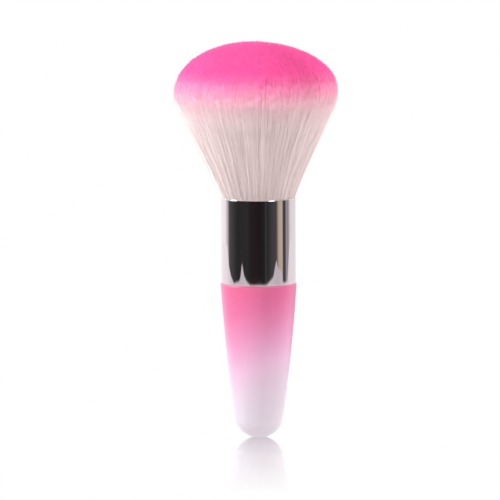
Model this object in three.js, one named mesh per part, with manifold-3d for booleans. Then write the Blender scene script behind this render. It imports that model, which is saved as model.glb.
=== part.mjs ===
// Nail dust brush: a flared tuft of fine nylon filament, its root tied with thread and set in
// resin inside a polished aluminium ferrule, glued over the neck of a hollow moulded handle.
//
// Millimetres, +Z up along the brush's axis. The origin is the middle of the small flat foot
// that the handle ends in, so the brush stands upright on z = 0.

import * as THREE from "three";
import { mergeVertices } from "three/addons/utils/BufferGeometryUtils.js";
import Module from "manifold-3d";

const wasm = await Module();
wasm.setup();

// ---------------------------------------------------------------- driving dimensions

// Handle: one hollow moulding, widest at the shoulder that the ferrule stands on.
const HANDLE_LENGTH = 46.35; // foot to shoulder
const SHOULDER_STEP = 0.3; // how far the shoulder stands out past the ferrule
const END_R = 7; // outer radius where the rounded end begins
const END_HEIGHT = 5; // height of the rounded end
const BELLY = 0.42; // how far the side bulges past a straight taper
const FOOT_R = 1.7; // radius of the flat that the brush stands on
const SHOULDER_EDGE_R = 0.4; // rounding of the shoulder's outer edge
const HANDLE_WALL = 2; // side wall of the hollow
const HANDLE_FLOOR = 3; // thickness of the closed end

// Neck: the spigot above the shoulder that the ferrule is glued over. Its length is what the
// tuft's root leaves free in the ferrule.
const NECK_CLEARANCE = 0.25; // between the neck and the ferrule's bore, all round
const NECK_WALL = 1.8;
const NECK_LEAD_IN = 0.6; // chamfer that guides the ferrule on
const RIB_COUNT = 8; // crush ribs that centre the ferrule
const RIB_WIDTH = 1;
const RIB_CLEARANCE = 0.05; // between a rib's crest and the ferrule's bore
const RIB_ROOT = 0.6; // how deep a rib is rooted in the neck
const GLUE_GROOVE_WIDTH = 4;
const GLUE_GROOVE_DEPTH = 0.8;
const GLUE_GAP = 0.1; // between the cured glue or resin and what it bonds

// Ferrule: a cut length of thin drawn tube with tumbled edges.
const FERRULE_R = 11; // outer radius
const FERRULE_WALL = 0.4;
const FERRULE_LENGTH = 25.3;

// Tuft: loose filament above the ferrule's mouth, and its bound root inside.
const TUFT_HEIGHT = 46.5; // ferrule's mouth to the crown of the dome
const TUFT_R = 24.45; // widest radius
const DOME_HEIGHT = 15.15; // widest place to the crown
const ROOT_DEPTH = 13.5; // how far the set root reaches down from the ferrule's mouth
const ROOT_SQUEEZE = 0.9; // how much smaller than the bore the bound root is, all round
const TUFT_BORE_CLEARANCE = 0.3; // between the filament and the ferrule's bore
const DOME_TURN = THREE.MathUtils.degToRad(108); // crown to where flare and dome meet

// Binding: a few close turns of thread in the waist that they pull into the root.
const THREAD_R = 0.35;
const THREAD_TURNS = 4;
const THREAD_PITCH = 0.8;
const THREAD_BITE = 0.5; // how deep the waist is
const THREAD_CLEARANCE = 0.2; // between the thread and the waist

// Root resin: a shallow cup that the cut ends are set in, on top of the neck.
const RESIN_HEIGHT = 6.2;
const RESIN_FLOOR = 1.6;
const RESIN_SEAT = 0.1; // between the resin and the neck's rim

const AROUND = 60; // flats round every turned piece

// ---------------------------------------------------------------- heights along the axis

const SHOULDER_Z = HANDLE_LENGTH;
const MOUTH_Z = SHOULDER_Z + FERRULE_LENGTH;
const NECK_TOP_Z = MOUTH_Z - ROOT_DEPTH;
const CROWN_Z = MOUTH_Z + TUFT_HEIGHT;
const GROOVE_Z = (SHOULDER_Z + NECK_TOP_Z - GLUE_GROOVE_WIDTH) / 2;
const RESIN_Z = NECK_TOP_Z + RESIN_SEAT;
const RESIN_TOP_Z = RESIN_Z + RESIN_HEIGHT;
const ROOT_Z = RESIN_Z + RESIN_FLOOR + GLUE_GAP;
const WAIST_Z = RESIN_TOP_Z + THREAD_R;
const WAIST_HEIGHT = THREAD_TURNS * THREAD_PITCH + 3 * THREAD_R;

// ---------------------------------------------------------------- radii

const SHOULDER_R = FERRULE_R + SHOULDER_STEP;
const BORE_R = FERRULE_R - FERRULE_WALL;
const NECK_R = BORE_R - NECK_CLEARANCE;
const GROOVE_R = NECK_R - GLUE_GROOVE_DEPTH;
const ROOT_R = BORE_R - ROOT_SQUEEZE;
const WAIST_R = ROOT_R - THREAD_BITE;

// ---------------------------------------------------------------- solids

// A closed outline of [radius, height] pairs, turned about the axis.
function turned(outline) {
  const points = outline.map(([r, z]) => new THREE.Vector2(r, z));
  return new THREE.LatheGeometry(points, AROUND).rotateX(Math.PI / 2);
}

// A ring of rectangular section about the axis.
function ring(inner, outer, low, high) {
  return turned([
    [inner, low],
    [outer, low],
    [outer, high],
    [inner, high],
    [inner, low],
  ]);
}

function solid(geometry) {
  const bare = geometry.clone().deleteAttribute("normal").deleteAttribute("uv");
  const merged = mergeVertices(bare, 1e-4);
  return new wasm.Manifold(
    new wasm.Mesh({
      numProp: 3,
      vertProperties: merged.attributes.position.array,
      triVerts: new Uint32Array(merged.index.array),
    }),
  );
}

function geometryOf(manifold) {
  const mesh = manifold.getMesh();
  const geometry = new THREE.BufferGeometry();
  geometry.setAttribute("position", new THREE.BufferAttribute(mesh.vertProperties, 3));
  geometry.setIndex(new THREE.BufferAttribute(mesh.triVerts, 1));
  geometry.computeVertexNormals();
  return geometry;
}

// An arc about [r, z], from one angle to another in degrees, as outline points.
function corner(r, z, radius, from, to, steps) {
  return Array.from({ length: steps + 1 }, (_, i) => {
    const angle = THREE.MathUtils.degToRad(from + ((to - from) * i) / steps);
    return [r + radius * Math.cos(angle), z + radius * Math.sin(angle)];
  });
}

// Evenly spaced values from one number to another, both included.
function spaced(from, to, steps) {
  return Array.from({ length: steps + 1 }, (_, i) => from + ((to - from) * i) / steps);
}

// ---------------------------------------------------------------- handle

// The side's radius at a height: a straight taper plus a shallow belly.
function handleSide(z) {
  const up = (z - END_HEIGHT) / (SHOULDER_Z - END_HEIGHT);
  const taper = END_R + (SHOULDER_R - END_R) * up;
  return taper + 4 * BELLY * up * (1 - up);
}

// The side again, with the end drawn in as an ellipse that reaches the foot's edge at z = 0.
function handleRadius(z) {
  if (z >= END_HEIGHT) return handleSide(z);
  const footShare = FOOT_R / handleSide(0);
  const down = ((END_HEIGHT - z) / END_HEIGHT) * Math.sqrt(1 - footShare ** 2);
  return handleSide(z) * Math.sqrt(1 - down ** 2);
}

// Below the neck the hollow is never wider than the neck's bore, so its core can be drawn out.
function hollowRadius(z) {
  return Math.min(handleRadius(z) - HANDLE_WALL, NECK_R - NECK_WALL);
}

function handleOutline() {
  // Heights in the rounded end are spaced by angle, which keeps its facets even.
  const end = spaced(0, Math.PI / 2, 6).map((a) => END_HEIGHT * (1 - Math.cos(a)));
  const side = spaced(END_HEIGHT, SHOULDER_Z - SHOULDER_EDGE_R, 6).slice(1);
  const edgeR = handleRadius(SHOULDER_Z - SHOULDER_EDGE_R) - SHOULDER_EDGE_R;
  const hollow = spaced(SHOULDER_Z, HANDLE_FLOOR, 6);
  return [
    [0, 0],
    ...[...end, ...side.slice(0, -1)].map((z) => [handleRadius(z), z]),
    ...corner(edgeR, SHOULDER_Z - SHOULDER_EDGE_R, SHOULDER_EDGE_R, 0, 90, 3),
    [NECK_R, SHOULDER_Z],
    [NECK_R, NECK_TOP_Z - NECK_LEAD_IN],
    [NECK_R - NECK_LEAD_IN, NECK_TOP_Z],
    [NECK_R - NECK_WALL, NECK_TOP_Z],
    ...hollow.map((z) => [hollowRadius(z), z]),
    [0, HANDLE_FLOOR],
  ];
}

// One crush rib at an angle round the neck, clear of the shoulder and of the lead-in.
function rib(angle) {
  const crest = BORE_R - RIB_CLEARANCE;
  const root = NECK_R - RIB_ROOT;
  const low = SHOULDER_Z + NECK_LEAD_IN;
  const high = NECK_TOP_Z - 2 * NECK_LEAD_IN;
  const block = new THREE.BoxGeometry(crest - root, RIB_WIDTH, high - low);
  block.translate((crest + root) / 2, 0, (low + high) / 2).rotateZ(angle);
  return solid(block);
}

// The ribs are added first, and the glue groove is then cut across them.
function handleGeometry() {
  let handle = solid(turned(handleOutline()));
  for (let i = 0; i < RIB_COUNT; i++) handle = handle.add(rib((2 * Math.PI * i) / RIB_COUNT));
  const groove = ring(GROOVE_R, FERRULE_R, GROOVE_Z, GROOVE_Z + GLUE_GROOVE_WIDTH);
  return geometryOf(handle.subtract(solid(groove)));
}

// ---------------------------------------------------------------- ferrule and bonds

// A tube whose top edge is fully rounded and whose bottom edge stands square on the shoulder.
function ferruleGeometry() {
  const edge = FERRULE_WALL / 2;
  return turned([
    [BORE_R, SHOULDER_Z],
    [FERRULE_R, SHOULDER_Z],
    ...corner(BORE_R + edge, MOUTH_Z - edge, edge, 0, 180, 4),
    [BORE_R, SHOULDER_Z],
  ]);
}

// The cured glue fills the neck's groove.
function neckGlueGeometry() {
  const low = GROOVE_Z + GLUE_GAP;
  const high = GROOVE_Z + GLUE_GROOVE_WIDTH - GLUE_GAP;
  return ring(GROOVE_R + GLUE_GAP, BORE_R - GLUE_GAP, low, high);
}

// The cup of resin round the cut ends of the filament.
function resinGeometry() {
  const outer = BORE_R - GLUE_GAP;
  const inner = ROOT_R + GLUE_GAP;
  const floor = RESIN_Z + RESIN_FLOOR;
  return turned([
    [0, RESIN_Z],
    [outer, RESIN_Z],
    [outer, RESIN_TOP_Z],
    [inner, RESIN_TOP_Z],
    [inner, floor],
    [0, floor],
  ]);
}

// ---------------------------------------------------------------- binding

class Helix extends THREE.Curve {
  getPoint(t, target = new THREE.Vector3()) {
    const angle = 2 * Math.PI * THREAD_TURNS * t;
    const radius = WAIST_R + THREAD_CLEARANCE + THREAD_R;
    const low = WAIST_Z + 1.5 * THREAD_R;
    const height = low + THREAD_TURNS * THREAD_PITCH * t;
    return target.set(radius * Math.cos(angle), radius * Math.sin(angle), height);
  }
}

function threadGeometry() {
  const section = new THREE.Shape().setFromPoints(
    Array.from({ length: 8 }, (_, i) => {
      const angle = (Math.PI * i) / 4;
      return new THREE.Vector2(THREAD_R * Math.cos(angle), THREAD_R * Math.sin(angle));
    }),
  );
  const steps = 20 * THREAD_TURNS;
  return new THREE.ExtrudeGeometry(section, { steps, extrudePath: new Helix() });
}

// ---------------------------------------------------------------- tuft

// The dome is the cap of an ellipse, from where the straight flare meets it to the crown.
function domePoint(turn) {
  const widestZ = CROWN_Z - DOME_HEIGHT;
  return [TUFT_R * Math.sin(turn), widestZ + DOME_HEIGHT * Math.cos(turn)];
}

function tuftGeometry() {
  return turned([
    [0, ROOT_Z],
    [ROOT_R, ROOT_Z],
    [ROOT_R, WAIST_Z - THREAD_R / 2],
    [WAIST_R, WAIST_Z],
    [WAIST_R, WAIST_Z + WAIST_HEIGHT],
    [ROOT_R, WAIST_Z + WAIST_HEIGHT + THREAD_R / 2],
    [BORE_R - TUFT_BORE_CLEARANCE, MOUTH_Z],
    ...spaced(DOME_TURN, 0, 14).slice(0, -1).map(domePoint),
    [0, CROWN_Z],
  ]);
}

// ---------------------------------------------------------------- assembly

const finishes = {
  lacquer: { color: 0xe58fb9, roughness: 0.42, metalness: 0 },
  polished: { color: 0xd6d6da, roughness: 0.06, metalness: 1 },
  glue: { color: 0xdcd3bf, roughness: 0.35, metalness: 0 },
  resin: { color: 0xd9c9a0, roughness: 0.3, metalness: 0 },
  cotton: { color: 0xeee6d8, roughness: 0.9, metalness: 0 },
  nylon: { color: 0xf0cfd8, roughness: 0.55, metalness: 0 },
};

function piece(name, geometry, finish) {
  const mesh = new THREE.Mesh(geometry, new THREE.MeshStandardMaterial(finishes[finish]));
  mesh.name = name;
  return mesh;
}

const brush = new THREE.Group();
brush.add(
  piece("handle", handleGeometry(), "lacquer"),
  piece("neck_glue", neckGlueGeometry(), "glue"),
  piece("ferrule", ferruleGeometry(), "polished"),
  piece("root_resin", resinGeometry(), "resin"),
  piece("binding_thread", threadGeometry(), "cotton"),
  piece("filament_tuft", tuftGeometry(), "nylon"),
);

export default brush;
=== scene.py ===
"""A nail dust brush: the finished look of every piece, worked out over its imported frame.

The brush stands on z = 0 with its axis on Z. Sizes are in metres, written as so many MM.
"""

import bmesh
import bpy
import numpy as np
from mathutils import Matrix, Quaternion, Vector


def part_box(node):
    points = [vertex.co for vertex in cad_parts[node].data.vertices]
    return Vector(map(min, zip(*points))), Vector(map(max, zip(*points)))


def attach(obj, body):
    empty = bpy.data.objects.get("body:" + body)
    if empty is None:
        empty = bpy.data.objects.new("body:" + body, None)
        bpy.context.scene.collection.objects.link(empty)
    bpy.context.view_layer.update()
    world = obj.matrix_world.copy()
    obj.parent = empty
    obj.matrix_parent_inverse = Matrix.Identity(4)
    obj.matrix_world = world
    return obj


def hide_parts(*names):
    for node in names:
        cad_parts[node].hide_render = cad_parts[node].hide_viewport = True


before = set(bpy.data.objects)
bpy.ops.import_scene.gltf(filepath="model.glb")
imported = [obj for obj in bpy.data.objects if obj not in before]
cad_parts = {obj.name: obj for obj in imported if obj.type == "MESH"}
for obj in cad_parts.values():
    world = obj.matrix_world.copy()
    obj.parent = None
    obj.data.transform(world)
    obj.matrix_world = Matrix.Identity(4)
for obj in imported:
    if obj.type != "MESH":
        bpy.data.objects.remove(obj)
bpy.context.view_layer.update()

MM = 0.001

# ------------------------------------------------------------------------------------- handle
# One hollow moulding: a tapered grip with a rounded end, a flat shoulder and a neck for the
# ferrule. It is sprayed with satin lacquer, rose pink above and lilac white below, and the two
# sprays fade into each other about half way up.

SHOULDER_STEP = 0.3 * MM  # how far the shoulder stands out past the ferrule
SHOULDER_EDGE_R = 0.4 * MM
END_R = 7 * MM  # where the rounded end begins
END_HEIGHT = 5 * MM
BELLY = 0.42 * MM
FOOT_R = 1.7 * MM
HANDLE_WALL = 2 * MM
HANDLE_FLOOR = 3 * MM
NECK_INSET = 0.65 * MM  # from the ferrule's outside to the neck's
NECK_WALL = 1.8 * MM
NECK_LEAD_IN = 0.6 * MM
NECK_ROWS = 12
GROOVE_HALF = 2 * MM
GROOVE_DEPTH = 0.8 * MM
RIB_COUNT = 8
RIB_HALF = 0.5 * MM
RIB_HEIGHT = 0.18 * MM
FADE_SKEW = 0.05  # of the handle's length, at either side
HANDLE_AROUND = 240
SHARP_FROM = 35  # degrees between faces, on every turned piece

SHOULDER_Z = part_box("ferrule")[0][2]
NECK_TOP_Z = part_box("handle")[1][2]
SHOULDER_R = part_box("ferrule")[1][0] + SHOULDER_STEP
NECK_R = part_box("ferrule")[1][0] - NECK_INSET
HOLLOW_R = NECK_R - NECK_WALL
GROOVE_Z = (SHOULDER_Z + NECK_TOP_Z) / 2


def handle_side(z):
    """Radius of the side: a straight taper from the rounded end to the shoulder, plus a
    parabola that is nought at both."""
    up = (z - END_HEIGHT) / (SHOULDER_Z - END_HEIGHT)
    return END_R + (SHOULDER_R - END_R) * up + 4 * BELLY * up * (1 - up)


def handle_radius(z):
    """The side, drawn in below END_HEIGHT as an ellipse that meets the foot's rim at z = 0."""
    foot_share = FOOT_R / handle_side(0)
    down = np.clip((END_HEIGHT - z) / END_HEIGHT, 0, 1) * np.sqrt(1 - foot_share**2)
    return handle_side(z) * np.sqrt(1 - down**2)


def arc(r, z, radius, start, stop, steps):
    """Points on a circle about (r, z) between two angles in degrees."""
    angle = np.radians(np.linspace(start, stop, steps))
    return np.stack([r + radius * np.cos(angle), z + radius * np.sin(angle)], 1)


def handle_outline():
    """(radius, height) rows from the middle of the foot, up the side, over the shoulder and
    the neck, and down the hollow to the middle of its floor."""
    turn = np.linspace(0, np.pi / 2, 30)
    end = END_HEIGHT * (1 - np.cos(turn))
    side = np.linspace(END_HEIGHT, SHOULDER_Z - SHOULDER_EDGE_R, 70)[1:]
    z = np.concatenate([end, side])
    top_r = handle_radius(side[-1])
    lip = arc(top_r - SHOULDER_EDGE_R, side[-1], SHOULDER_EDGE_R, 8, 90, 8)
    low, high = GROOVE_Z - GROOVE_HALF, GROOVE_Z + GROOVE_HALF
    neck_z = np.concatenate(
        [
            np.linspace(SHOULDER_Z, low, NECK_ROWS),
            np.linspace(low, high, NECK_ROWS),
            np.linspace(high, NECK_TOP_Z - NECK_LEAD_IN, NECK_ROWS),
        ]
    )
    in_groove = np.repeat([0, 1, 0], NECK_ROWS)
    neck = np.stack([NECK_R - GROOVE_DEPTH * in_groove, neck_z], 1)
    rim = [[NECK_R - NECK_LEAD_IN, NECK_TOP_Z], [HOLLOW_R, NECK_TOP_Z]]
    down = np.linspace(NECK_TOP_Z - NECK_LEAD_IN / 2, HANDLE_FLOOR, 40)
    outside = handle_radius(np.minimum(down, SHOULDER_Z))
    hollow = np.minimum(outside - HANDLE_WALL, HOLLOW_R)
    return np.concatenate(
        [
            [[0, 0]],
            np.stack([handle_radius(z), z], 1),
            lip,
            neck,
            rim,
            np.stack([hollow, down], 1),
            [[0, HANDLE_FLOOR]],
        ]
    )


def round_axis(radius, angle, height):
    """Points that lie at a radius and an angle round the brush's axis, and at a height."""
    return np.stack([radius * np.cos(angle), radius * np.sin(angle), height], -1)


def turned(outline, around, swell=None):
    """A grid of points: row i of the outline at each of the angles round the axis. swell, if it
    is given, takes (angle, radius, height) arrays and returns what is added to the radius."""
    angle = np.linspace(0, 2 * np.pi, around, endpoint=False)[None, :]
    radius = np.repeat(outline[:, :1], around, 1)
    height = np.repeat(outline[:, 1:], around, 1)
    if swell:
        radius = radius + swell(angle, radius, height)
    return round_axis(radius, angle, height)


def grid_faces(rows, columns, closed_rows=False):
    """Corner numbers of the quads between neighbouring rows and columns of a grid whose columns
    run round and meet, and whose last row also meets its first if closed_rows."""
    row = np.arange(rows if closed_rows else rows - 1)[:, None]
    column = np.arange(columns)[None, :]
    after = (column + 1) % columns
    above = (row + 1) % rows
    quads = [row * columns + column, row * columns + after, above * columns + after]
    quads.append(above * columns + column)
    return np.stack([np.broadcast_to(q, quads[0].shape) for q in quads], -1).reshape(-1, 4)


def put_on_brush(name, mesh, node):
    """A piece of this mesh that rides on the brush and stands for the CAD node named."""
    piece = bpy.data.objects.new(name, mesh)
    bpy.context.scene.collection.objects.link(piece)
    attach(piece, "root")
    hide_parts(node)
    return piece


def make_piece(name, points, faces, material, node):
    """A smooth closed mesh of these points and faces: doubles such as a pole's are merged, and
    the faces are turned outwards."""
    mesh = bpy.data.meshes.new(name)
    mesh.from_pydata(points.reshape(-1, 3).tolist(), [], faces.tolist())
    shape = bmesh.new()
    shape.from_mesh(mesh)
    bmesh.ops.remove_doubles(shape, verts=shape.verts, dist=1e-7)
    bmesh.ops.recalc_face_normals(shape, faces=shape.faces)
    shape.to_mesh(mesh)
    shape.free()
    mesh.shade_smooth()
    mesh.set_sharp_from_angle(angle=np.radians(SHARP_FROM))
    mesh.materials.append(material)
    return put_on_brush(name, mesh, node)


def new_material(name, **settings):
    """A material whose one shader has these sockets set. Returns it, its nodes' maker, its
    links' maker and the shader."""
    material = bpy.data.materials.new(name)
    material.use_nodes = True
    tree = material.node_tree
    shader = tree.nodes["Principled BSDF"]
    for socket, value in settings.items():
        shader.inputs[socket.replace("_", " ")].default_value = value
    return material, tree.nodes.new, tree.links.new, shader


def noise(node, link, coordinates, scale, detail=2.0, stretch=(1, 1, 1)):
    """The value of a noise of so many cells a metre, on coordinates stretched by a factor each
    way."""
    mapping = node("ShaderNodeMapping")
    mapping.inputs["Scale"].default_value = stretch
    link(coordinates, mapping.inputs["Vector"])
    texture = node("ShaderNodeTexNoise")
    texture.inputs["Scale"].default_value = scale
    texture.inputs["Detail"].default_value = detail
    link(mapping.outputs["Vector"], texture.inputs["Vector"])
    return texture.outputs["Fac"]


def remap(node, link, value, low, high, to_low, to_high):
    """A value taken from one range to another, and held inside it."""
    ranged = node("ShaderNodeMapRange")
    for socket, number in zip(ranged.inputs[1:5], (low, high, to_low, to_high)):
        socket.default_value = number
    link(value, ranged.inputs["Value"])
    return ranged.outputs["Result"]


def ramp(node, link, value, stops):
    """A colour that runs through (place, (r, g, b)) stops as the value goes from 0 to 1."""
    scale = node("ShaderNodeValToRGB")
    elements = scale.color_ramp.elements
    while len(elements) < len(stops):
        elements.new(0.5)
    for element, (place, colour) in zip(elements, stops):
        element.position = place
        element.color = (*colour, 1)
    link(value, scale.inputs["Fac"])
    return scale.outputs["Color"]


def bump(node, link, shader, height, depth):
    """Raises the surface by a height from 0 to 1 times a depth in metres."""
    relief = node("ShaderNodeBump")
    relief.inputs["Distance"].default_value = depth
    link(height, relief.inputs["Height"])
    link(relief.outputs["Normal"], shader.inputs["Normal"])


def handle_lacquer():
    """Satin lacquer. Its colour goes by height, a little askew, moved up and down by the drift
    of the spray and speckled by its droplets. A very fine orange peel breaks the gloss."""
    material, node, link, shader = new_material(
        "handle_lacquer",
        Specular_IOR_Level=0.45,
        Coat_Weight=0.5,
        Sheen_Weight=0.15,
        Sheen_Roughness=0.4,
    )
    shader.inputs["Coat Roughness"].default_value = 0.32
    place = node("ShaderNodeTexCoord").outputs["Object"]
    split = node("ShaderNodeSeparateXYZ")
    link(place, split.inputs["Vector"])
    height = remap(node, link, split.outputs["Z"], 0, SHOULDER_Z, 0, 1)
    askew = remap(node, link, split.outputs["X"], -END_R, END_R, FADE_SKEW, -FADE_SKEW)
    drift = remap(node, link, noise(node, link, place, 90, 3), 0.3, 0.7, -0.02, 0.02)
    droplets = remap(node, link, noise(node, link, place, 9000, 1), 0.3, 0.7, -0.035, 0.035)
    moved = height
    for shift in (askew, drift, droplets):
        add = node("ShaderNodeMath")
        link(moved, add.inputs[0])
        link(shift, add.inputs[1])
        moved = add.outputs[0]
    stops = [
        (0.0, (0.63, 0.55, 0.615)),
        (0.14, (0.545, 0.465, 0.525)),
        (0.3, (0.545, 0.425, 0.51)),
        (0.48, (0.59, 0.345, 0.48)),
        (0.66, (0.57, 0.2, 0.355)),
        (0.85, (0.545, 0.104, 0.24)),
        (1.0, (0.54, 0.074, 0.188)),
    ]
    link(ramp(node, link, moved, stops), shader.inputs["Base Color"])
    wear = noise(node, link, place, 700, 4)
    link(remap(node, link, wear, 0.3, 0.7, 0.37, 0.47), shader.inputs["Roughness"])
    bump(node, link, shader, noise(node, link, place, 2600, 2), 0.006 * MM)
    return material


def crush_ribs(angle, radius, height):
    """Narrow ribs up the neck, each a bell of the fourth power of the distance across it. They
    stop short of the shoulder, the groove and the lead-in."""
    pitch = 2 * np.pi / RIB_COUNT
    across = np.abs((angle / pitch + 0.5) % 1 - 0.5) * pitch * NECK_R
    bell = np.clip(1 - (across / RIB_HALF) ** 4, 0, 1)
    low, high = SHOULDER_Z + NECK_LEAD_IN, NECK_TOP_Z - 2 * NECK_LEAD_IN
    on_neck = (height > low) & (height < high)
    outside = np.abs(radius - NECK_R) < 0.01 * MM
    return RIB_HEIGHT * bell * (on_neck & outside)


outline = handle_outline()
make_piece(
    "handle_moulding",
    turned(outline, HANDLE_AROUND, crush_ribs),
    grid_faces(len(outline), HANDLE_AROUND),
    handle_lacquer(),
    "handle",
)

# ---------------------------------------------------------------------------------- neck glue
# A ring of two-part glue that has cured in the neck's groove under the ferrule. Its corners are
# rounded off and its surface is uneven.

GLUE_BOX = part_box("neck_glue")
GLUE_HALF = 0.325 * MM  # half the ring's thickness
GLUE_WAVE = 0.04 * MM
INNER_AROUND = 120  # for the pieces that the ferrule hides


def glue_outline():
    """A closed ring section: an ellipse pushed out towards an oblong, by taking its cosine and
    sine to a low power."""
    low, high = GLUE_BOX[0][2], GLUE_BOX[1][2]
    middle = np.array([GLUE_BOX[1][0] - GLUE_HALF, (low + high) / 2])
    half = np.array([GLUE_HALF, (high - low) / 2])
    angle = np.linspace(0, 2 * np.pi, 40, endpoint=False)
    round_off = np.stack([np.cos(angle), np.sin(angle)], 1)
    return middle + half * np.sign(round_off) * np.abs(round_off) ** 0.35


def glue_wobble(angle, radius, height):
    """Two slow waves round the ring, three and seven to a turn, that draw its surface in."""
    return GLUE_WAVE * (np.sin(3 * angle) + np.sin(7 * angle + 1)) / 2 - GLUE_WAVE


def cured(name, colour, roughness):
    """A clouded cast resin: two shades in soft patches with small bubbles."""
    material, node, link, shader = new_material(name, Roughness=roughness)
    place = node("ShaderNodeTexCoord").outputs["Object"]
    deep = tuple(0.7 * c for c in colour)
    cloud = noise(node, link, place, 350, 4)
    link(ramp(node, link, cloud, [(0.35, deep), (0.65, colour)]), shader.inputs["Base Color"])
    bubbles = node("ShaderNodeTexVoronoi")
    bubbles.inputs["Scale"].default_value = 1500
    link(place, bubbles.inputs["Vector"])
    pits = remap(node, link, bubbles.outputs["Distance"], 0, 0.25, 0, 1)
    bump(node, link, shader, pits, 0.02 * MM)
    return material


outline = glue_outline()
make_piece(
    "neck_glue_ring",
    turned(outline, INNER_AROUND, glue_wobble),
    grid_faces(len(outline), INNER_AROUND, closed_rows=True),
    cured("neck_glue", (0.62, 0.56, 0.42), 0.35),
    "neck_glue",
)

# ------------------------------------------------------------------------------------ ferrule
# A length of thin drawn aluminium tube, tumbled to round its edges and buffed to a mirror. It
# is glued over the neck and stands on the shoulder.

MOUTH_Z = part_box("ferrule")[1][2]
FERRULE_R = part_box("ferrule")[1][0]
FERRULE_WALL = 0.4 * MM
FOOT_CHAMFER = 0.05 * MM
OUTSIDE_ROWS = 40
BORE_ROWS = 30
FERRULE_AROUND = 256


def ferrule_outline():
    """A closed tube section: the outside, a fully rounded mouth, the bore, and a square foot
    with a small chamfer. Rows close to the chamfer and the mouth keep the side's shading flat
    right up to them."""
    half = FERRULE_WALL / 2
    bore = FERRULE_R - FERRULE_WALL
    top = MOUTH_Z - half
    foot = [[FERRULE_R - FOOT_CHAMFER, SHOULDER_Z], [FERRULE_R, SHOULDER_Z + FOOT_CHAMFER]]
    outside = np.linspace(SHOULDER_Z + 0.09 * MM, top - 0.05 * MM, OUTSIDE_ROWS)
    inside = np.linspace(top - 0.05 * MM, SHOULDER_Z, BORE_ROWS)
    return np.concatenate(
        [
            foot,
            np.stack([np.full(OUTSIDE_ROWS, FERRULE_R), outside], 1),
            arc(FERRULE_R - half, top, half, 0, 180, 17),
            np.stack([np.full(BORE_ROWS, bore), inside], 1),
        ]
    )


def polished_aluminium():
    """Mirror-buffed metal. Its tone varies in faint draw lines up the tube, and its haze in
    soft patches drawn out the same way."""
    material, node, link, shader = new_material("polished_aluminium", Metallic=1.0)
    place = node("ShaderNodeTexCoord").outputs["Object"]
    tone = noise(node, link, place, 300, 3, (1, 1, 0.05))
    stops = [(0.3, (0.88, 0.87, 0.88)), (0.7, (0.94, 0.93, 0.94))]
    link(ramp(node, link, tone, stops), shader.inputs["Base Color"])
    haze = noise(node, link, place, 800, 5, (1, 1, 0.3))
    link(remap(node, link, haze, 0.35, 0.7, 0.016, 0.023), shader.inputs["Roughness"])
    return material


outline = ferrule_outline()
make_piece(
    "ferrule_tube",
    turned(outline, FERRULE_AROUND),
    grid_faces(len(outline), FERRULE_AROUND, closed_rows=True),
    polished_aluminium(),
    "ferrule",
)

# --------------------------------------------------------------------------------- root resin
# The cup of epoxy that the cut ends of the filament are set in. It was poured into the ferrule
# before the handle went on, so it climbs the wall a little.

RESIN_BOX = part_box("root_resin")
RESIN_RIM_R = 0.35 * MM  # half the cup's wall
RESIN_FLOOR = 1.6 * MM
RESIN_OUTER_CHAMFER = 0.2 * MM
RESIN_INNER_CHAMFER = 0.3 * MM
RESIN_ROWS = 12


def resin_outline():
    """From the middle of the underside, out and up the wall, over a rounded rim and down to
    the middle of the cup's floor."""
    low, high = RESIN_BOX[0][2], RESIN_BOX[1][2]
    outer = RESIN_BOX[1][0]
    inner = outer - 2 * RESIN_RIM_R
    floor = low + RESIN_FLOOR
    rim_z = high - RESIN_RIM_R
    wall = np.linspace(low + RESIN_OUTER_CHAMFER, rim_z, RESIN_ROWS)
    down = np.linspace(rim_z, floor + RESIN_INNER_CHAMFER, RESIN_ROWS)
    return np.concatenate(
        [
            [[0, low], [outer - RESIN_OUTER_CHAMFER, low]],
            np.stack([np.full(RESIN_ROWS, outer), wall], 1),
            arc((outer + inner) / 2, rim_z, RESIN_RIM_R, 0, 180, 12)[1:-1],
            np.stack([np.full(RESIN_ROWS, inner), down], 1),
            [[inner - RESIN_INNER_CHAMFER, floor], [0, floor]],
        ]
    )


outline = resin_outline()
make_piece(
    "root_resin_cup",
    turned(outline, INNER_AROUND),
    grid_faces(len(outline), INNER_AROUND),
    cured("root_resin", (0.62, 0.45, 0.2), 0.25),
    "root_resin",
)

# ----------------------------------------------------------------------------- binding thread
# Four turns of three-ply cotton that draw the bundle in just above the resin.

THREAD_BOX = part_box("binding_thread")
THREAD_R = 0.35 * MM
THREAD_TURNS = 4
THREAD_STEPS = 900
THREAD_SIDES = 18
TWISTS = 110
PLY_DEPTH = 0.3  # of the thread's radius


def thread_grid():
    """A tube along a helix. Its section has three lobes, for the plies, which turn about the
    path as it goes, and over the first and last 400th of the way it closes to a point."""
    along = np.linspace(0, 1, THREAD_STEPS)[:, None]
    side = np.linspace(0, 2 * np.pi, THREAD_SIDES, endpoint=False)[None, :]
    turn = 2 * np.pi * THREAD_TURNS * along
    line_r = THREAD_BOX[1][0] - THREAD_R
    low, high = THREAD_BOX[0][2] + THREAD_R, THREAD_BOX[1][2] - THREAD_R
    lobes = np.abs(np.cos(1.5 * (side - 2 * np.pi * TWISTS / 3 * along)))
    closing = np.sqrt(np.clip(np.minimum(along, 1 - along) * 400, 0, 1))
    section = THREAD_R * (1 - PLY_DEPTH + PLY_DEPTH * lobes) * closing
    radius = line_r + section * np.cos(side)
    height = low + (high - low) * along + section * np.sin(side)
    return round_axis(radius, turn, height)


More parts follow.
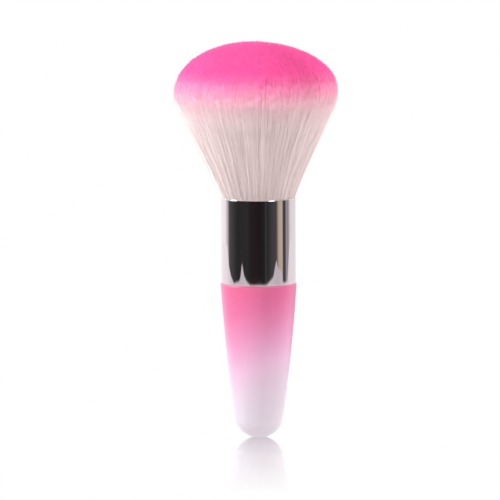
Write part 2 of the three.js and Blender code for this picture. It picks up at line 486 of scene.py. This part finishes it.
def twisted_cotton():
    """Undyed cotton: a fine mottle of fibres, with painted shade that makes them darker where they
    lie lower.
    """
    material, node, link, shader = new_material("twisted_cotton", Roughness=0.9)
    place = node("ShaderNodeTexCoord").outputs["Object"]
    fibre = noise(node, link, place, 6000, 3)
    # The low fibres' darker colour is painted shade.
    stops = [(0.3, (0.6, 0.54, 0.43)), (0.7, (0.85, 0.8, 0.7))]
    link(ramp(node, link, fibre, stops), shader.inputs["Base Color"])
    bump(node, link, shader, fibre, 0.03 * MM)
    return material


make_piece(
    "binding_thread_turns",
    thread_grid(),
    grid_faces(THREAD_STEPS, THREAD_SIDES),
    twisted_cotton(),
    "binding_thread",
)

# --------------------------------------------------------------------------------------- tuft
# Thousands of tapered nylon filaments, off-white, cut and shaped into a dome and then dipped
# in hot pink dye. The outer ones are modelled from the ferrule's mouth to their tips, and the
# inner ones over the stretch that shows, above a solid bundle of the same filament.

CROWN_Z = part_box("filament_tuft")[1][2]
ROOT_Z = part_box("filament_tuft")[0][2]
TUFT_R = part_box("filament_tuft")[1][0]
DOME_HEIGHT = 15.15 * MM
DOME_Z = CROWN_Z - DOME_HEIGHT
DOME_TURN = np.radians(108)  # from the crown, round the dome, to where it meets the flare
MOUTH_R = FERRULE_R - FERRULE_WALL
LEAN = -0.85 * MM
TILT = -0.026

rng = np.random.default_rng(11)
WAVES = 24
wave_count = rng.integers(60, 260, WAVES)
wave_phase = rng.uniform(0, 2 * np.pi, WAVES)
wave_skew = rng.normal(0, 0.9, WAVES)


def streaks(around, turn):
    """Waves round the tuft, 60 to 260 to a turn, summed, which stand for its loose locks: about
    -1 to 1. Each wave's phase drifts from the crown outwards, so that no lock runs dead
    straight."""
    phase = wave_count * around[..., None] + wave_phase + wave_skew * turn[..., None]
    return np.cos(phase).sum(-1) / np.sqrt(2 * WAVES)


CLUMP_WAVES = 24
CLUMP_PULL = (0.25 * MM) ** 2
clump_way = rng.normal(0, 1, (3, CLUMP_WAVES))
clump_length = rng.uniform(0.8 * MM, 3 * MM, CLUMP_WAVES)
clump_way *= 2 * np.pi / clump_length / np.linalg.norm(clump_way, axis=0)
clump_phase = rng.uniform(0, 2 * np.pi, CLUMP_WAVES)


def clumps(points):
    """Waves in all directions, 0.8 to 3 mm long, summed, for the little bunches that the tips
    gather in: about -1 to 1. Also gives a short step towards the middle of the bunch, which is
    the sum's own slope."""
    phase = points @ clump_way + clump_phase
    together = -np.sin(phase) @ clump_way.T
    share = np.sqrt(CLUMP_WAVES)
    return np.cos(phase).sum(-1) / share, together / share * CLUMP_PULL


def dome_area_turns(share):
    """The turn from the crown at which the dome holds this share of its whole area."""
    turn = np.linspace(0, DOME_TURN, 600)
    speed = np.hypot(TUFT_R * np.cos(turn), DOME_HEIGHT * np.sin(turn))
    area = np.cumsum(TUFT_R * np.sin(turn) * speed)
    return np.interp(share, area / area[-1], turn)


def leaned(points):
    """The tuft's slight set: it leans aside with the square root of the height above the
    ferrule's mouth, less so in the dome, and the crown is tilted, most at its middle."""
    up = np.clip((points[..., 2] - MOUTH_Z) / (CROWN_Z - MOUTH_Z), 0, 1)
    in_dome = np.clip((points[..., 2] - DOME_Z) / DOME_HEIGHT, 0, 1)
    moved = points.copy()
    moved[..., 0] += LEAN * np.sqrt(up) * (1 - 0.45 * np.clip(3 * in_dome, 0, 1))
    moved[..., 2] += TILT * points[..., 0] * in_dome**2
    return moved


ROOT_R = MOUTH_R - 0.9 * MM
WAIST_R = ROOT_R - 0.5 * MM
WAIST_SLOPE = 0.3 * MM  # the height over which the waist draws in
WAIST_SPARE = 0.1 * MM  # above and below the thread
IN_AT_MOUTH = 0.4 * MM
IN_AT_SIDE = 0.8 * MM
IN_AT_CROWN = 1.6 * MM


def bundle_outline():
    """The solid bundle: its root in the resin, the waist under the thread, and above it a
    straight flare and the dome's ellipse, drawn in from the tips of the filaments."""
    waist_low, waist_high = THREAD_BOX[0][2] - WAIST_SPARE, THREAD_BOX[1][2] + WAIST_SPARE
    turn = np.linspace(DOME_TURN, 0, 100)
    dome_r = (TUFT_R - IN_AT_SIDE) * np.sin(turn)
    dome_z = DOME_Z + (DOME_HEIGHT - IN_AT_CROWN) * np.cos(turn)
    up = np.linspace(0, 1, 40)[:-1]
    foot_r = MOUTH_R - IN_AT_MOUTH
    side_r = foot_r + (dome_r[0] - foot_r) * up
    side_z = MOUTH_Z + (dome_z[0] - MOUTH_Z) * up
    return np.concatenate(
        [
            [[0, ROOT_Z], [ROOT_R, ROOT_Z]],
            [[ROOT_R, waist_low], [WAIST_R, waist_low + WAIST_SLOPE]],
            [[WAIST_R, waist_high - WAIST_SLOPE], [ROOT_R, waist_high]],
            np.stack([side_r, side_z], 1),
            np.stack([dome_r, dome_z], 1),
        ]
    )


def dye_map(mesh, dye, tone):
    """Puts each corner on the piece's own map: across by how deep in the dye it lies, and up by how
    light the filament is, which holds painted light and shade as well as the filament's own shade."""
    layer = mesh.uv_layers.new(name="OFBake")
    corners = np.empty(len(mesh.loops), np.int32)
    mesh.loops.foreach_get("vertex_index", corners)
    places = np.stack([dye, tone], -1).reshape(-1, 2)[corners]
    layer.uv.foreach_set("vector", places.astype(np.float32).ravel())


DYE_Z = 103.9 * MM
DYE_TILT_X = 0.012
DYE_TILT_Y = 0.03
DYE_FADE = 6.5 * MM  # either side of the line
DYE_TRACE = 0.16
TRACE_REACH = 16 * MM


def dye_depth(points, shift):
    """0 where the filament is bare and 1 where it is fully dyed, 0.5 at the dye line. The line
    is a plane, not quite level, and each filament drew the dye up a little more or less. A
    trace of it has crept on towards the ferrule, and dies away exponentially."""
    over = points[..., 2] + shift - DYE_Z - DYE_TILT_X * points[..., 0] - DYE_TILT_Y * points[..., 1]
    trace = DYE_TRACE * np.exp(np.clip(over, None, 0) / TRACE_REACH)
    return np.clip(np.maximum(over / (2 * DYE_FADE) + 0.5, trace * (over < 0)), 0, 1)


# Painted light and shade by height on the tuft: the levels are lightest on the flare a little under
# the dome's brow, which the brow shades, and fall off towards the ferrule.
PAINTED_LIGHT_HEIGHTS = np.array([73, 75, 81, 88, 91, 94, 97, 100, 102, 104, 106, 109]) * MM
PAINTED_LIGHT_LEVELS = [0.57, 0.62, 0.68, 0.76, 0.87, 0.95, 0.94, 0.8, 0.65, 0.58, 0.6, 0.7]
# Painted shadow in the filaments just above the ferrule's mouth.
PAINTED_MOUTH_SHADOW = 0.1
BUNCH_SHADE = 0.11
PATCH_SHADE = 0.32
PATCH_TURN = -0.87  # the deep pink patch, to the right of the front
PATCH_HALF_TURN = 0.3
PATCH_Z = 108 * MM
PATCH_HALF_HEIGHT = 7 * MM


def filament_tone(points, lock, bunch):
    """How light the filament is, 0 to 1. By its height it is painted light and shade: lightest on
    the flare a little under the dome's brow, where the brow shades it, darker at the brow, and
    darker down towards the ferrule. Just above the ferrule's mouth a painted shadow darkens it more.
    By its lock and bunch it is darker in the gaps between them, where the tips stop short, which is
    painted shade, more so the looser they hang. It is darker too in a bell-shaped patch to the right
    of the front, where the dome is a deeper pink."""
    height = points[..., 2]
    # Painted light and shade by height.
    level = np.interp(height, PAINTED_LIGHT_HEIGHTS, PAINTED_LIGHT_LEVELS)
    # Painted shadow just above the ferrule's mouth.
    mouth_shadow = np.exp(-np.clip(height - MOUTH_Z, 0, None) / (1.2 * MM))
    up = np.clip((height - MOUTH_Z) / (DOME_Z - MOUTH_Z), 0, 1)
    # Darker in the gaps between locks and bunches, where the tips stop short: painted shade.
    lock_shade = 0.05 + 0.26 * up - 0.08 * np.clip((height - 98 * MM) / (6 * MM), 0, 1)
    aside = (np.arctan2(points[..., 1], points[..., 0]) - PATCH_TURN) / PATCH_HALF_TURN
    patch = np.exp(-(aside**2) - ((height - PATCH_Z) / PATCH_HALF_HEIGHT) ** 2)
    shade = lock * lock_shade + BUNCH_SHADE * bunch * up - PATCH_SHADE * patch
    return level - PAINTED_MOUTH_SHADOW * mouth_shadow + shade


def blended(node, link, factor, first, second, blend="MIX"):
    """The second colour laid on the first by the blend named, as far as the factor says."""
    mix = node("ShaderNodeMix")
    mix.data_type = "RGBA"
    mix.blend_type = blend
    if isinstance(factor, float):
        mix.inputs["Factor"].default_value = factor
    else:
        link(factor, mix.inputs["Factor"])
    link(first, mix.inputs["A"])
    link(second, mix.inputs["B"])
    return mix.outputs["Result"]


def dyed_nylon():
    """Nylon filament, read off the piece's own map: bare off-white to hot pink across it, and up it
    how light the filament is: the painted light and shade of filament_tone and the small differences
    in shade from one filament to the next. Darker is greyer on bare nylon and a deeper pink on dyed."""
    material, node, link, shader = new_material(
        "filament_nylon",
        Roughness=0.5,
        Specular_IOR_Level=0.4,
        Sheen_Weight=0.16,
        Sheen_Roughness=0.5,
    )
    map_node = node("ShaderNodeUVMap")
    map_node.uv_map = "OFBake"
    split = node("ShaderNodeSeparateXYZ")
    link(map_node.outputs["UV"], split.inputs["Vector"])
    stops = [
        (0.0, (0.97, 0.865, 0.842)),
        (0.2, (0.97, 0.74, 0.77)),
        (0.5, (0.97, 0.4, 0.59)),
        (0.8, (0.97, 0.165, 0.465)),
        (1.0, (0.97, 0.08, 0.41)),
    ]
    dye = ramp(node, link, split.outputs["X"], stops)
    tone = split.outputs["Y"]
    bare_shade = ramp(node, link, tone, [(0, (0.43, 0.35, 0.34)), (1, (1, 1, 1))])
    dyed_shade = ramp(node, link, tone, [(0, (0.55, 0.25, 0.34)), (1, (1, 1, 1))])
    shade = blended(node, link, split.outputs["X"], bare_shade, dyed_shade)
    colour = blended(node, link, 1.0, dye, shade, "MULTIPLY")
    link(colour, shader.inputs["Base Color"])
    return material


filament_nylon = dyed_nylon()

BUNDLE_AROUND = 480
GROOVE_SHARE = 0.006  # of the radius
BUNCH_DIP = 0.2 * MM
TONE_SPREAD = 0.06


def rippled(outline):
    """The bundle's outline turned, with grooves between its locks that fade in over the first
    10 mm, and dips in its dome between the bunches of tips."""
    grid = turned(outline, BUNDLE_AROUND)
    angle = np.linspace(0, 2 * np.pi, BUNDLE_AROUND, endpoint=False) * np.ones((len(outline), 1))
    turn = np.linspace(DOME_TURN, 0, len(outline))[:, None] * np.ones(BUNDLE_AROUND)
    above = np.clip((grid[..., 2:] - MOUTH_Z) / (10 * MM), 0, 1)
    grid[..., :2] *= 1 + GROOVE_SHARE * streaks(angle, turn)[..., None] * above
    from_middle = grid - (0, 0, DOME_Z)
    bunch = clumps(from_middle)[0][..., None]
    in_dome = np.clip(from_middle[..., 2:] / DOME_HEIGHT + 0.3, 0, 1)
    outward = from_middle / np.linalg.norm(from_middle, axis=-1, keepdims=True)
    return grid - BUNCH_DIP * (1 - bunch) * in_dome * outward


outline = bundle_outline()
bundle = make_piece(
    "filament_bundle",
    leaned(rippled(outline)),
    grid_faces(len(outline), BUNDLE_AROUND),
    filament_nylon,
    "filament_tuft",
)
place = np.empty(len(bundle.data.vertices) * 3)
bundle.data.vertices.foreach_get("co", place)
place = place.reshape(-1, 3)
ripple = streaks(np.arctan2(place[:, 1], place[:, 0]), np.zeros(len(place)))
bunch = clumps(place - (0, 0, DOME_Z))[0]
# The bundle's tone holds the same painted light and shade as the filaments', a little darker, with
# its own random spread.
tone = filament_tone(place, ripple, bunch) - 0.02 + rng.normal(0, TONE_SPREAD, len(place))
dye_map(bundle.data, dye_depth(place, ripple * MM), np.clip(tone, 0.01, 0.99))


FILAMENT_R = 0.05 * MM
FILAMENT_SIDES = 3
ROOT_BELOW = 1.5 * MM  # the ferrule's mouth
KNEE_ABOVE = 1.8 * MM  # the ferrule's mouth
BELOW_CROWN = 0.22 * MM
SHORT_SPREAD = 0.008  # of the dome's size, as the next three are
LOCK_SHORT = 0.004
BUNCH_SHORT = 0.006
STRAY_LONG = 0.035
STRAY_SHARE = 0.015  # of the filaments
TIP_GATHER = 0.6
WANDER = 0.1 * MM
DYE_SPREAD = 0.6 * MM


def filament_tips(turn, around, lock):
    """Where the filaments end: on the dome's ellipse, nearer its middle by a random share and
    where they lie between locks or bunches, with a few strays past it, and drawn a little
    together in their locks and bunches. Also gives the bunch."""
    pull = (streaks(around + 0.008, turn) - streaks(around - 0.008, turn)) * 0.003
    around_tip = around + pull + rng.normal(0, 0.004, len(around))
    on_dome = round_axis(TUFT_R * np.sin(turn), around, DOME_HEIGHT * np.cos(turn))
    bunch, together = clumps(on_dome)
    short = np.abs(rng.normal(0, SHORT_SPREAD, len(around)))
    short += LOCK_SHORT * np.clip(-lock, 0, 1.5) + BUNCH_SHORT * np.clip(-bunch, 0, 1.5)
    stray = rng.uniform(0, 1, len(around)) < STRAY_SHARE
    size = 1 - short + stray * rng.uniform(0, STRAY_LONG, len(around))
    tip_r = TUFT_R * np.sin(turn) * size
    tip_z = DOME_Z + (DOME_HEIGHT - BELOW_CROWN) * np.cos(turn) * size
    return round_axis(tip_r, around_tip, tip_z) + TIP_GATHER * together, bunch


def filament_paths(share, around, steps, reach):
    """Centre lines of filaments whose tips lie at these shares of the dome's area and angles
    round it. Each is a quadratic curve that leaves the ferrule upright and bends out to its
    tip, with steps + 1 points over its last reach metres, or all of it, and wanders off that
    curve by a sine that is nought at both ends."""
    turn = dome_area_turns(share)
    lock = streaks(around, turn)
    tip, bunch = filament_tips(turn, around, lock)
    root_r = (MOUTH_R - FILAMENT_R) * np.sqrt(share)
    root = round_axis(root_r, around, np.full(len(around), MOUTH_Z - ROOT_BELOW))
    knee = round_axis(root_r, around, np.full(len(around), MOUTH_Z + KNEE_ABOVE))
    length = np.linalg.norm(tip - knee, axis=1) + ROOT_BELOW + KNEE_ABOVE
    first = np.clip(1 - reach / length, 0, 1)
    t = first[:, None] + (1 - first[:, None]) * np.linspace(0, 1, steps + 1) ** 0.85
    t = t[..., None]
    line = (1 - t) ** 2 * root[:, None] + 2 * t * (1 - t) * knee[:, None] + t**2 * tip[:, None]
    wander = rng.normal(0, WANDER, (len(around), 1, 3)) * np.sin(np.pi * t**1.3)
    return line + wander, lock, bunch


def filament_tubes(line, thickness):
    """Three-sided tapered tubes on centre lines: each ring of corners stands square to its
    line, full size for most of it and drawn down over its last third to a fine tip."""
    ahead = np.gradient(line, axis=1)
    ahead /= np.linalg.norm(ahead, axis=2, keepdims=True)
    outward = line * (1, 1, 0) + (1e-9, 0, 0)
    side = np.cross(ahead, outward)
    side /= np.linalg.norm(side, axis=2, keepdims=True)
    up = np.cross(side, ahead)
    steps = line.shape[1] - 1
    t = np.linspace(0, 1, steps + 1)
    taper = np.clip((1 - t) / 0.35, 0.12, 1) ** 0.7
    size = thickness[:, None] * taper
    corner = 2 * np.pi / FILAMENT_SIDES * np.arange(FILAMENT_SIDES)
    spin = rng.uniform(0, 2 * np.pi, len(line))[:, None] + corner
    across = np.cos(spin)[:, None, :, None] * side[:, :, None]
    across = across + np.sin(spin)[:, None, :, None] * up[:, :, None]
    return line[:, :, None] + size[..., None, None] * across


def tube_faces(filaments, steps):
    """Quads round every tube, and a triangle at each end, written as corner numbers in a row
    with the number of corners of each face."""
    sides = FILAMENT_SIDES
    ring = sides * np.arange(steps)[:, None]
    corner = np.arange(sides)[None, :]
    after = (corner + 1) % sides
    following = ring + sides
    quads = np.stack([ring + corner, ring + after, following + after, following + corner], -1)
    ends = [np.arange(sides)[::-1], sides * steps + np.arange(sides)]
    one = np.concatenate([quads.ravel(), *ends])
    sizes = np.concatenate([np.full(sides * steps, 4), [sides, sides]])
    per_tube = sides * (steps + 1)
    corners = one[None, :] + per_tube * np.arange(filaments)[:, None]
    return corners.ravel(), np.tile(sizes, filaments)


def make_filaments(name, share, around, steps, reach):
    """One piece of many filaments, with its own map. The three corners of a ring lie a little
    apart on it, so that no face has lost its width there."""
    line, lock, bunch = filament_paths(share, around, steps, reach)
    line = leaned(line)
    thickness = FILAMENT_R * rng.uniform(0.75, 1.2, len(line))
    points = filament_tubes(line, thickness)
    corners, sizes = tube_faces(len(line), steps)
    mesh = bpy.data.meshes.new(name)
    mesh.vertices.add(points.size // 3)
    mesh.vertices.foreach_set("co", points.ravel())
    mesh.loops.add(len(corners))
    mesh.loops.foreach_set("vertex_index", corners.astype(np.int32))
    mesh.polygons.add(len(sizes))
    mesh.polygons.foreach_set("loop_start", np.concatenate([[0], np.cumsum(sizes)[:-1]]))
    mesh.update(calc_edges=True)
    mesh.shade_smooth()
    mesh.materials.append(filament_nylon)
    line_dye = rng.normal(0, DYE_SPREAD, len(line)) + DYE_SPREAD * lock
    dye = dye_depth(points, line_dye[:, None, None])
    # The tone holds painted light and shade, and a random difference from one filament to the next.
    tone = filament_tone(points, lock[:, None, None], bunch[:, None, None])
    tone += rng.normal(0, TONE_SPREAD, len(line))[:, None, None]
    width = np.array([-0.008, 0, 0.008])
    dye_map(mesh, dye, np.clip(tone, 0.02, 0.98) + width)
    put_on_brush(name, mesh, "filament_tuft")


def spiral(low, high, count):
    """Shares of the dome's area from low to high, evenly spread, each turned on from the last by
    the golden angle, so that tips lie evenly with no rows."""
    share = low + (high - low) * (np.arange(count) + rng.uniform(0, 1, count)) / count
    around = np.arange(count) * np.pi * (3 - np.sqrt(5)) + rng.normal(0, 0.01, count)
    return share, around % (2 * np.pi)


SIDE_FROM = 0.62  # of the dome's area, from the crown
for number in range(4):
    share, around = spiral(SIDE_FROM, 1, 4000)
    make_filaments("side_filaments_%d" % number, share, around, 7, 1.0)
for number in range(6):
    share, around = spiral(0, SIDE_FROM, 8000)
    make_filaments("dome_filaments_%d" % number, share, around, 2, 12 * MM)

# --------------------------------------------------------------------------- table and studio
# The brush stands on a white acrylic sheet, which mirrors its foot and loses it again with distance.
# To the eye all round it is plain white. Gloss on the brush sees more: the sheet, its edge half a
# metre off, and past it a painted reflection of a dark room and a wall, on a glowing ring that only
# gloss sees.

REFLECTION_REACH = 93 * MM


def stage_object(name, points, faces, material):
    """A thing of these points and faces that belongs to the studio and not to the brush."""
    mesh = bpy.data.meshes.new(name)
    mesh.from_pydata(points.reshape(-1, 3).tolist(), [], faces.tolist())
    mesh.materials.append(material)
    thing = bpy.data.objects.new(name, mesh)
    bpy.context.scene.collection.objects.link(thing)
    return thing


def glowing(name, colour):
    """A material that only gives off light. Returns it, its nodes' maker, its links' maker,
    the node that glows and the output."""
    material = bpy.data.materials.new(name)
    material.use_nodes = True
    tree = material.node_tree
    tree.nodes.clear()
    emission = tree.nodes.new("ShaderNodeEmission")
    emission.inputs["Color"].default_value = (*colour, 1)
    output = tree.nodes.new("ShaderNodeOutputMaterial")
    tree.links.new(emission.outputs["Emission"], output.inputs["Surface"])
    return material, tree.nodes.new, tree.links.new, emission, output


def acrylic_sheet():
    """White that mixes in a clear mirror near the foot, less and less with distance, and less
    the steeper it is looked at, as clear gloss does."""
    material, node, link, emission, output = glowing("acrylic_sheet", (1, 1, 1))
    place = node("ShaderNodeTexCoord").outputs["Object"]
    length = node("ShaderNodeVectorMath")
    length.operation = "LENGTH"
    link(place, length.inputs[0])
    near = remap(node, link, length.outputs["Value"], 0, REFLECTION_REACH, 1.0, 0)
    gloss = node("ShaderNodeFresnel")
    gloss.inputs["IOR"].default_value = 1.45
    slant = remap(node, link, gloss.outputs["Fac"], 0.03, 0.4, 0.07, 1)
    share = node("ShaderNodeMath")
    share.operation = "MULTIPLY"
    link(near, share.inputs[0])
    link(slant, share.inputs[1])
    mirror = node("ShaderNodeBsdfGlossy")
    mirror.inputs["Roughness"].default_value = 0
    mirror.inputs["Color"].default_value = (1, 1, 1, 1)
    mix = node("ShaderNodeMixShader")
    link(share.outputs[0], mix.inputs["Fac"])
    link(emission.outputs["Emission"], mix.inputs[1])
    link(mirror.outputs["BSDF"], mix.inputs[2])
    link(mix.outputs["Shader"], output.inputs["Surface"])
    return material


def flat_square(half, height):
    """The four corners of a level square."""
    return np.array([[-half, -half, height], [half, -half, height], [half, half, height],
                     [-half, half, height]])


stage_object("table_top", flat_square(4, 0), np.array([[0, 1, 2, 3]]), acrylic_sheet())


RING_COLUMNS = 720
RING_LIFT = 0.2 * MM  # above the sheet
WALL_DISTANCE = 3
WALL_TOP = 4
FRONT_WALL = 0.12


def ring_rows():
    """How far out and how high up each row of the ring lies: out along the table, close
    together where the sheet's edge is, and then up the wall."""
    near = np.linspace(0.1, 0.355, 40)
    at_edge = np.linspace(0.36, 0.56, 70)
    far = np.geomspace(0.57, WALL_DISTANCE, 20)
    up = np.linspace(0.01, WALL_TOP, 30)
    out = np.concatenate([near, at_edge, far, np.full(len(up), WALL_DISTANCE)])
    level = np.full(len(out) - len(up), RING_LIFT)
    return out[:, None], np.concatenate([level, up])[:, None]


def sheet_edge(degrees):
    """How far out the sheet's edge lies at each angle round from the front, through the places
    below, with its corners eased by a bell-shaped running mean."""
    places = [-180, -112, -105, -95, -82, -62, -57, -52.6, -46, -38, -26, 24, 46, 57, 60, 76, 80,
              101, 106, 113, 180]
    edges = [0.56, 0.54, 0.46, 0.422, 0.398, 0.407, 0.423, 0.48, 0.43, 0.41, 0.396, 0.396, 0.423,
             0.49, 0.46, 0.44, 0.4, 0.4, 0.48, 0.56, 0.6]
    edge = np.interp(degrees, places, edges)[0]
    ease = np.hanning(15)
    eased = np.convolve(np.tile(edge, 3), ease / ease.sum(), "same")
    return eased[RING_COLUMNS : 2 * RING_COLUMNS]


def room_shade(degrees):
    """The shade past the sheet's edge at each angle round from the front: nearly black in front,
    with a lit strip at the right, and white behind."""
    places = [-180, -126, -119, -107, -102, -84, -68, -36, -24, 4, 18, 22, 28, 42, 57, 61, 66,
              78, 82, 90, 96, 100, 103, 106, 112, 122, 180]
    shades = [0.93, 0.93, 0.74, 0.32, 0.075, 0.045, 0.023, 0.026, 0.016, 0.011, 0.016, 0.04, 0.024,
              0.05, 0.065, 0.22, 0.41, 0.44, 0.06, 0.05, 0.3, 0.33, 0.2, 0.32, 0.62, 0.74, 0.8]
    return np.interp(degrees, places, shades)


def sheet_shade(degrees, angle, out):
    """The shade of the sheet: a little greyer near its edge, and near the brush crossed by dark
    bands, the sum of two cosines of the angle, which give the metal something to mirror when it
    is looked at from higher up."""
    places = [-180, -115, -90, -53, 0, 40, 60, 85, 110, 180]
    greys = [0.93, 0.85, 0.6, 0.55, 0.6, 0.55, 0.5, 0.55, 0.75, 0.8]
    grey = np.interp(degrees, places, greys)
    plain = 1 + (grey - 1) * np.clip((out - 0.38) / 0.02, 0, 1)
    bands = 0.5 + 1.3 * np.cos(3 * angle + 1) + 0.7 * np.cos(5 * angle + 2)
    near = np.clip((out - 0.102) / 0.01, 0, 1) * np.clip((0.345 - out) / 0.03, 0, 1)
    return plain, 1 - (1 - np.clip(bands, 0.1, 1)) * near


def surroundings():
    """What gloss on the brush sees, as painted reflections on a glowing ring that only gloss sees:
    the ring lies on the table and turns up into a wall, with a column at each angle round from the
    front, and the colour of each point. The room has a warm tint in front and a tan one at the
    right. The wall is dark in front, and white at the back and overhead."""
    angle = np.radians(np.linspace(-180, 180, RING_COLUMNS, endpoint=False))[None, :]
    degrees = np.degrees(angle)
    out, up = ring_rows()
    height = up * np.ones_like(angle)
    points = np.stack([out * np.sin(angle), -out * np.cos(angle), height], -1)
    past = np.clip((out - sheet_edge(degrees)) / 0.008, 0, 1)
    plain, bands = sheet_shade(degrees, angle, out)
    shade = (plain + (room_shade(degrees) - plain) * past) * bands
    tan = np.exp(-(((degrees - 68) / 9) ** 6)) * past
    warm = 0.1 * np.exp(-(((degrees + 10) / 9) ** 2)) * past
    colour = shade[..., None] * np.array([1.06, 0.94, 1.0])
    colour = colour * (1 + warm[..., None] * np.array([4, -1, -1]))
    colour = colour * (1 + tan[..., None] * np.array([0.13, -0.03, -0.32]))
    front = np.clip((125 - np.abs(degrees)) / 40, 0, 1)
    wall = 1 - (1 - FRONT_WALL) * front * np.clip((3.2 - up) / 2, 0, 1)
    on_wall = (up > RING_LIFT)[..., None]
    return points, np.where(on_wall, wall[..., None] * np.ones(3), colour)


def shaded_glow():
    """Gives off the ring's own shade, but plain white to the acrylic sheet's clear mirror, so
    that the sheet stays white to the eye."""
    material, node, link, emission, output = glowing("surroundings", (1, 1, 1))
    attribute = node("ShaderNodeAttribute")
    attribute.attribute_name = "shade"
    path = node("ShaderNodeLightPath")
    seen = node("ShaderNodeMix")
    seen.data_type = "RGBA"
    seen.inputs["B"].default_value = (1, 1, 1, 1)
    link(path.outputs["Is Singular Ray"], seen.inputs["Factor"])
    link(attribute.outputs["Color"], seen.inputs["A"])
    link(seen.outputs["Result"], emission.inputs["Color"])
    return material


points, colour = surroundings()
ring = stage_object("surroundings", points, grid_faces(len(points), RING_COLUMNS), shaded_glow())
layer = ring.data.color_attributes.new("shade", "FLOAT_COLOR", "POINT")
rgba = np.concatenate([colour, np.ones((*colour.shape[:2], 1))], 2)
layer.data.foreach_set("color", rgba.astype(np.float32).ravel())
ring.visible_camera = False
ring.visible_diffuse = False
ring.visible_shadow = False

world = bpy.data.worlds.new("white_studio")
world.use_nodes = True
world.node_tree.nodes["Background"].inputs["Color"].default_value = (1, 1, 1, 1)
bpy.context.scene.world = world
world.cycles_visibility.diffuse = False


def softbox(name, angle, distance, height, size, power, gloss=False, aim=0.059, spread=180,
            tint=(1, 1, 1)):
    """A lamp of a width and a height that faces the brush's axis at a height. It stands at an
    angle in degrees round from the front, to the right; a grid can narrow its spread and a gel
    can tint it."""
    light = bpy.data.lights.new(name, "AREA")
    light.shape = "RECTANGLE"
    light.size, light.size_y = size
    light.energy = power
    light.spread = np.radians(spread)
    light.color = tint
    lamp = bpy.data.objects.new(name, light)
    turn = np.radians(angle)
    lamp.location = (distance * np.sin(turn), -distance * np.cos(turn), height)
    to_brush = Vector((0, 0, aim)) - lamp.location
    lamp.rotation_euler = to_brush.to_track_quat("-Z", "Y").to_euler()
    lamp.visible_camera = False
    lamp.visible_glossy = gloss
    bpy.context.scene.collection.objects.link(lamp)


COOL_GEL = (0.94, 1, 1.01)

softbox("left_softbox", -88, 0.5, 0.26, (0.24, 0.2), 2.55, gloss=True, tint=COOL_GEL)
softbox("left_rim_softbox", -125, 0.5, 0.22, (0.4, 0.38), 1.65, tint=COOL_GEL)
softbox("left_grid_lamp", -77, 0.5, 0.12, (0.2, 0.06), 0.045, aim=0.073, spread=22, tint=COOL_GEL)
softbox("right_softbox", 112, 0.5, 0.24, (0.42, 0.4), 2.9)
softbox("front_right_softbox", 43, 0.5, 0.28, (0.17, 0.2), 1.0, gloss=True)
softbox("top_softbox", 0, 0.1, 0.6, (0.5, 0.5), 2.7)
softbox("front_fill", 0, 0.8, 0.1, (0.6, 0.6), 4.8)
softbox("back_fill", 180, 0.6, 0.3, (0.6, 0.6), 2.0)

# ------------------------------------------------------------------------------------- camera
# A long lens a metre off, a little above the brush and aimed just below the middle of the
# ferrule.

EYE_HEIGHT = 0.165
EYE_DISTANCE = 1.0
AIM_Z = 56.0 * MM
BESIDE = -2.52 * MM
FRAME_WIDTH = 0.14825
ROLL = np.radians(-0.2)

camera_data = bpy.data.cameras.new("camera")
camera = bpy.data.objects.new("camera", camera_data)
bpy.context.scene.collection.objects.link(camera)
camera.location = (BESIDE, -EYE_DISTANCE, EYE_HEIGHT)
aim = Vector((BESIDE, 0, AIM_Z)) - camera.location
upright = aim.to_track_quat("-Z", "Y")
camera.rotation_euler = (upright @ Quaternion((0, 0, 1), ROLL)).to_euler()
camera_data.sensor_width = 36
camera_data.lens = camera_data.sensor_width * aim.length / FRAME_WIDTH
camera_data.clip_start = 0.01
bpy.context.scene.camera = camera
bpy.context.scene.view_settings.view_transform = "Standard"
